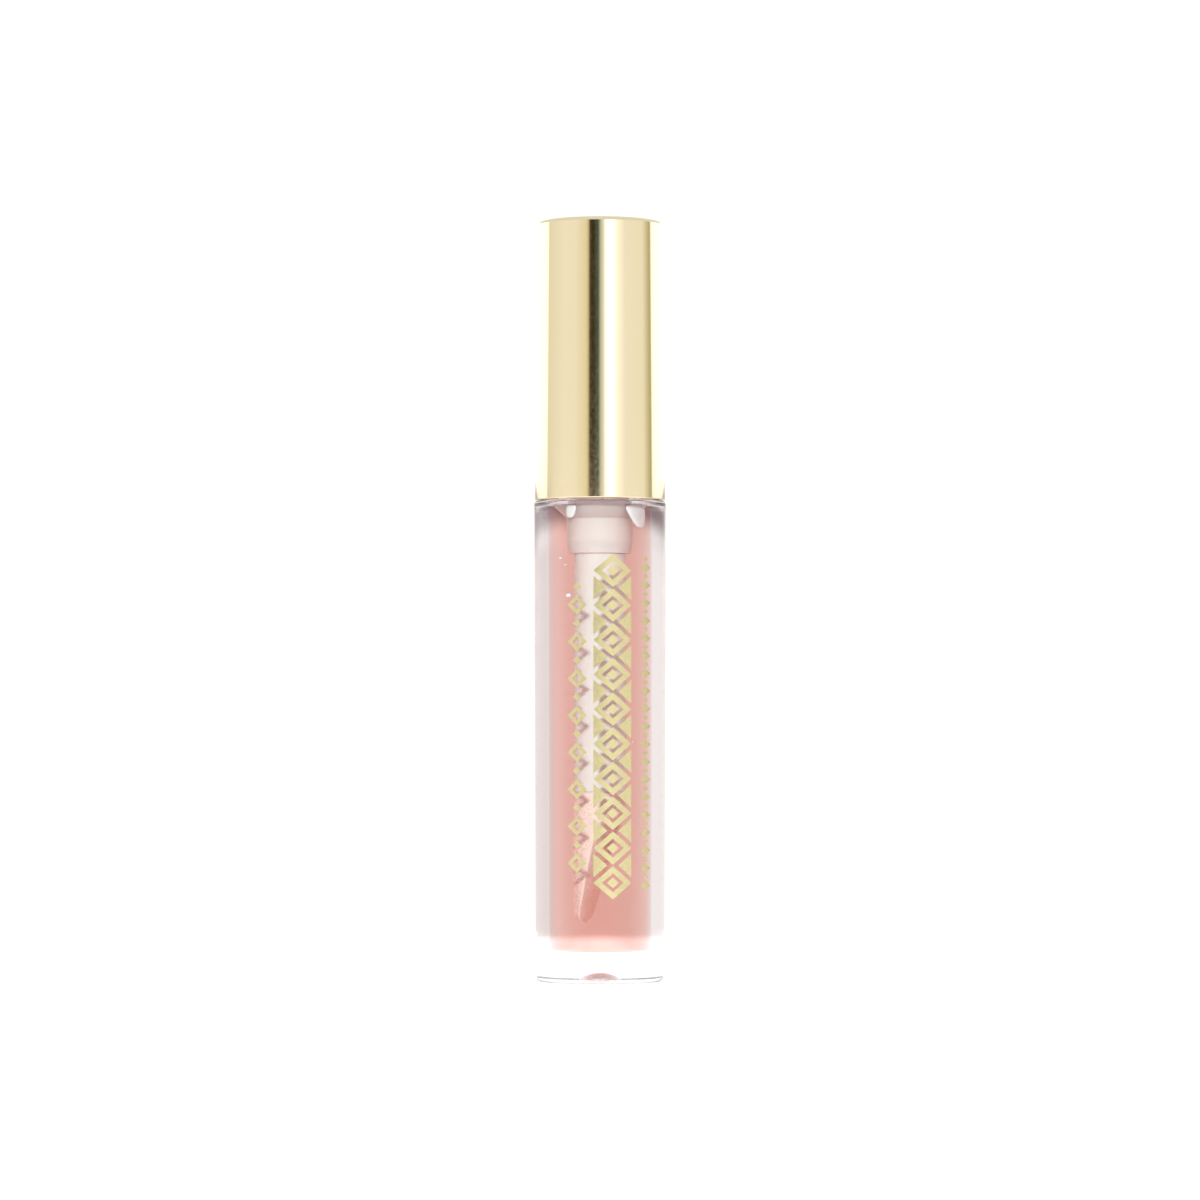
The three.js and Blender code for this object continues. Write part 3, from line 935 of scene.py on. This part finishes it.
# ---------------------------------------------------------------- studio
# The studio's walls: brightness of red, green and blue at each direction round the tube in degrees,
# with 0 towards the camera and the right positive. The cap mirrors the upper walls. The lower
# walls are what shows through the clear plastic, and the seam is the dark joint between the two.
UPPER_WALLS = [
    (-118, (1.65, 1.65, 1.65)),
    (-110, (1.40, 1.40, 1.45)),
    (-107, (0.84, 0.81, 0.76)),
    (-66, (0.94, 0.92, 0.92)),
    (-46, (0.93, 0.90, 0.90)),
    (-26, (0.82, 0.77, 0.62)),
    (-22, (0.70, 0.62, 0.45)),
    (-18, (0.06, 0.04, 0.02)),
    (-11, (0.03, 0.03, 0.01)),
    (-8, (0.07, 0.07, 0.06)),
    (-3, (0.085, 0.10, 0.095)),
    (1, (0.50, 0.55, 0.50)),
    (7, (0.85, 0.88, 0.98)),
    (13, (2.00, 2.00, 2.00)),
    (24, (2.00, 2.00, 2.00)),
    (30, (1.20, 1.22, 1.30)),
    (46, (0.92, 0.92, 0.93)),
    (84, (0.90, 0.88, 0.84)),
    (94, (0.68, 0.63, 0.48)),
    (104, (0.45, 0.41, 0.30)),
    (108, (1.30, 1.30, 1.30)),
    (118, (1.65, 1.65, 1.65)),
]
LOWER_WALLS = [
    (-170, (0.88, 0.80, 0.76)),
    (-160, (0.84, 0.74, 0.69)),
    (-148, (0.84, 0.74, 0.69)),
    (-138, (0.88, 0.83, 0.81)),
    (-100, (0.88, 0.83, 0.81)),
    (-80, (1.30, 1.18, 1.15)),
    (80, (1.30, 1.18, 1.15)),
    (98, (0.74, 0.65, 0.63)),
    (140, (0.74, 0.65, 0.63)),
    (150, (0.88, 0.79, 0.755)),
    (170, (0.88, 0.80, 0.76)),
]
SEAM = [
    (-172, (0.88, 0.80, 0.76)),
    (-162, (0.24, 0.165, 0.175)),
    (-98, (0.24, 0.165, 0.175)),
    (-90, (1.0, 0.9, 0.9)),
    (90, (1.0, 0.9, 0.9)),
    (98, (0.24, 0.165, 0.175)),
    (162, (0.24, 0.165, 0.175)),
    (172, (0.88, 0.80, 0.76)),
]
BRIGHTEST = 2.0
CEILING_COLOUR = (0.80, 0.80, 0.80)
SEEN_COLOUR = (1.05, 1.05, 1.05)  # what the camera sees behind the tube
# Heights above the horizon, in degrees, where one part of the studio ends and the next is whole.
SEAM_START = (2.85, 3.15)
UPPER_START = (3.22, 3.40)
CEILING_START = (11.0, 16.0)


def scaled(colour):
    """A wall's colour as a share of the brightest one, because a ramp holds 0 to 1."""
    return (*(level / BRIGHTEST for level in colour), 1)


def add_walls(tree, around, stops):
    """A ring of light panels, as a colour ramp over the direction round the tube."""
    ramp = tree.nodes.new("ShaderNodeValToRGB")
    elements = ramp.color_ramp.elements
    elements[0].color = scaled(stops[0][1])
    elements[1].color = scaled(stops[-1][1])
    for degrees, colour in stops:
        element = elements.new((degrees + 180) / 360)
        element.color = scaled(colour)
    tree.links.new(around, ramp.inputs["Fac"])
    return ramp.outputs["Color"]


def mix_colours(tree, share, first, second):
    """Goes from the first colour to the second as share goes from 0 to 1."""
    mix = tree.nodes.new("ShaderNodeMix")
    mix.data_type = "RGBA"
    tree.links.new(share, mix.inputs["Factor"])
    for socket, colour in (("A", first), ("B", second)):
        target = next(i for i in mix.inputs if i.name == socket and i.type == "RGBA")
        if isinstance(colour, tuple):
            target.default_value = colour
        else:
            tree.links.new(colour, target)
    return next(o for o in mix.outputs if o.type == "RGBA")


def add_step(tree, height, degrees):
    """Rises from 0 to 1 between two heights above the horizon, given in degrees."""
    low, high = (math.sin(math.radians(d)) for d in degrees)
    return ease(tree, height, low, high, 0.0, 1.0)


def add_directions(tree):
    """The direction looked in: round the tube from 0 to 1, and the sine of its height."""
    place = tree.nodes.new("ShaderNodeTexCoord")
    split = tree.nodes.new("ShaderNodeSeparateXYZ")
    tree.links.new(place.outputs["Generated"], split.inputs["Vector"])
    forward = tree.nodes.new("ShaderNodeMath")
    forward.operation = "MULTIPLY"
    forward.inputs[1].default_value = -1.0
    tree.links.new(split.outputs["Y"], forward.inputs[0])
    turn = tree.nodes.new("ShaderNodeMath")
    turn.operation = "ARCTAN2"
    tree.links.new(split.outputs["X"], turn.inputs[0])
    tree.links.new(forward.outputs[0], turn.inputs[1])
    around = tree.nodes.new("ShaderNodeMapRange")
    set_values(around, From_Min=-math.pi, From_Max=math.pi)
    tree.links.new(turn.outputs[0], around.inputs["Value"])
    return around.outputs["Result"], split.outputs["Z"]


def make_world():
    """The studio round the tube: lower walls, seam, upper walls and ceiling. The camera sees white."""
    world = bpy.data.worlds.new("studio")
    bpy.context.scene.world = world
    world.use_nodes = True
    tree = world.node_tree
    background = tree.nodes["Background"]
    around, height = add_directions(tree)
    studio = add_walls(tree, around, LOWER_WALLS)
    for start, stops in ((SEAM_START, SEAM), (UPPER_START, UPPER_WALLS)):
        walls = add_walls(tree, around, stops)
        studio = mix_colours(tree, add_step(tree, height, start), studio, walls)
    ceiling = scaled(CEILING_COLOUR)
    studio = mix_colours(tree, add_step(tree, height, CEILING_START), studio, ceiling)
    path = tree.nodes.new("ShaderNodeLightPath")
    seen = mix_colours(tree, path.outputs["Is Camera Ray"], studio, scaled(SEEN_COLOUR))
    tree.links.new(seen, background.inputs["Color"])
    background.inputs["Strength"].default_value = BRIGHTEST


def paper():
    """White paper with painted shade that darkens it away from the tube at each side; it thins out at
    its rim.
    """
    material, tree, shader, _ = new_material("paper_floor")
    set_values(shader, Roughness=0.9, Emission_Color=(1, 1, 1, 1), Emission_Strength=0.42)
    place = tree.nodes.new("ShaderNodeTexCoord")
    split = tree.nodes.new("ShaderNodeSeparateXYZ")
    sideways = tree.nodes.new("ShaderNodeMath")
    sideways.operation = "ABSOLUTE"
    tree.links.new(place.outputs["Object"], split.inputs["Vector"])
    tree.links.new(split.outputs["X"], sideways.inputs[0])
    near, far = (distance * MM for distance in PAPER_SHADE_REACH)
    # painted shade: the paper is darker towards each side
    shade = ease(tree, sideways.outputs[0], near, far, PAPER_LIGHT, PAPER_SHADED)
    tree.links.new(shade, shader.inputs["Base Color"])
    reach = tree.nodes.new("ShaderNodeVectorMath")
    reach.operation = "LENGTH"
    tree.links.new(place.outputs["Object"], reach.inputs[0])
    thin = ease(tree, reach.outputs["Value"], PAPER_FADE * MM, PAPER_RADIUS * MM, 1.0, 0.0)
    tree.links.new(thin, shader.inputs["Alpha"])
    return material


def make_floor():
    mesh = bmesh.new()
    bmesh.ops.create_circle(mesh, cap_ends=True, segments=96, radius=PAPER_RADIUS * MM)
    floor = add_object("floor", finish_mesh(mesh, "floor"))
    floor.location.z = CAD_BOX[0].z - PAPER_GAP * MM
    floor.data.materials.append(paper())


def hide_in_mirrors(lamp):
    """The lamp lights pieces but isn't seen, either itself or in them."""
    lamp.visible_camera = False
    lamp.visible_glossy = False
    lamp.visible_transmission = False


def place_lamp(data, azimuth, elevation):
    """Aims a lamp at the tube from a direction in degrees, where 0, 0 is the camera's side."""
    lamp = add_object(data.name, data)
    turn = math.radians(azimuth)
    rise = math.radians(elevation)
    away = Vector((math.sin(turn) * math.cos(rise), -math.cos(turn) * math.cos(rise), math.sin(rise)))
    lamp.location = Vector((0, 0, LAMP_AIM * MM)) + away * LAMP_DISTANCE * MM
    lamp.rotation_mode = "QUATERNION"
    lamp.rotation_quaternion = away.to_track_quat("Z", "Y")
    hide_in_mirrors(lamp)


def make_key():
    """A narrow beam that reaches little above the vial."""
    key = bpy.data.lights.new("key", "SPOT")
    key.energy = KEY_POWER
    key.color = (0.60, 1.0, 1.0)
    key.shadow_soft_size = 0.03
    key.spot_size = math.radians(KEY_BEAM)
    key.spot_blend = 0.4
    place_lamp(key, azimuth=-7, elevation=12)


def make_soft_lamp(name, size, power, colour, azimuth, elevation):
    """A round soft box; its size is in metres and its power in watts."""
    lamp = bpy.data.lights.new(name, "AREA")
    lamp.shape = "DISK"
    lamp.size = size
    lamp.energy = power
    lamp.color = colour
    place_lamp(lamp, azimuth, elevation)


def make_overhead():
    """A broad soft light from straight above."""
    data = bpy.data.lights.new("overhead", "SUN")
    data.energy = 1.5
    data.color = (1.0, 0.90, 0.90)
    data.angle = math.radians(50)
    hide_in_mirrors(add_object("overhead", data))


def make_camera():
    data = bpy.data.cameras.new("camera")
    data.lens = CAMERA_LENS
    data.sensor_width = 36
    data.clip_start = 0.01
    data.clip_end = 20
    camera = add_object("camera", data)
    camera.location = Vector((0, -CAMERA_DISTANCE, CAMERA_HEIGHT)) * MM
    aim = Vector((0, 0, CAMERA_AIM)) * MM - camera.location
    camera.rotation_mode = "QUATERNION"
    camera.rotation_quaternion = aim.to_track_quat("-Z", "Y")
    bpy.context.scene.camera = camera


def set_render():
    """Plain colours, and enough bounces for light to cross every wall of the tube."""
    scene = bpy.context.scene
    scene.view_settings.view_transform = "Standard"
    scene.view_settings.look = "None"
    cycles = scene.cycles
    cycles.max_bounces = 24
    cycles.transmission_bounces = 20
    cycles.transparent_max_bounces = 20
    cycles.glossy_bounces = 8
    cycles.diffuse_bounces = 5


def make_tube():
    wall = clear_plastic("clear_wall", PLASTIC_IOR)
    wetted = clear_plastic("clear_wall_wetted", PLASTIC_IOR / GLOSS_IOR)
    # painted shade: the shoulder's fillet is tinted dark purple-grey for the shade in the joint under
    # the cap; its haze is real roughness
    shaded_fillet = clear_plastic("clear_wall_painted_shade", PLASTIC_IOR, haze=0.3, tint=(0.55, 0.46, 0.52))
    frosted = clear_plastic("clear_wall_frosted", PLASTIC_IOR, haze=0.4, clearness=0.8)
    make_vial([wall, wetted, shaded_fillet, frosted])
    make_gloss(gloss_liquid())
    milky = moulded("milky_polythene", (0.70, 0.62, 0.60), (0.67, 0.59, 0.57), 0.4, 0.6)
    # painted shade: a darker copy of the milky polythene for the wiper's upper part, shaded inside the
    # neck
    painted_shade_flare = moulded("milky_painted_shade", (0.55, 0.46, 0.45), (0.52, 0.43, 0.42), 0.4, 0.6)
    make_wiper(milky, painted_shade_flare)
    # painted reflection: the air pockets and bubbles are drawn pale for the light their walls throw
    # back
    air = air_painted_reflection()
    make_air_pocket("air_pocket_right", (34, 80), (62.1, 65.3), 0.5, 0.55, air)
    make_air_pocket("air_pocket_left", (-34, -53), (63.4, 65.2), 0.3, 0.3, air)
    make_bubbles(air)
    make_print(hot_foil())
    make_stem(moulded("rod_plastic", (0.68, 0.69, 0.685), (0.66, 0.67, 0.665), 0.32, 0.3, 0.3))
    core = moulded("core_rubber", (0.76, 0.71, 0.68), (0.73, 0.68, 0.65), 0.6)
    make_tip(core, flock_fibre())
    make_inner_cap(moulded("inner_plastic", (0.70, 0.70, 0.69), (0.67, 0.67, 0.66), 0.38, 0.2))
    make_cap_shell(gold_metallised())


make_camera()
make_world()
make_floor()
make_key()
make_soft_lamp("fill", size=0.7, power=2.2, colour=(1.0, 0.85, 0.82), azimuth=15, elevation=25)
make_soft_lamp("back", size=0.5, power=6.0, colour=(1.0, 0.97, 0.97), azimuth=190, elevation=12)
make_overhead()
set_render()
make_tube()
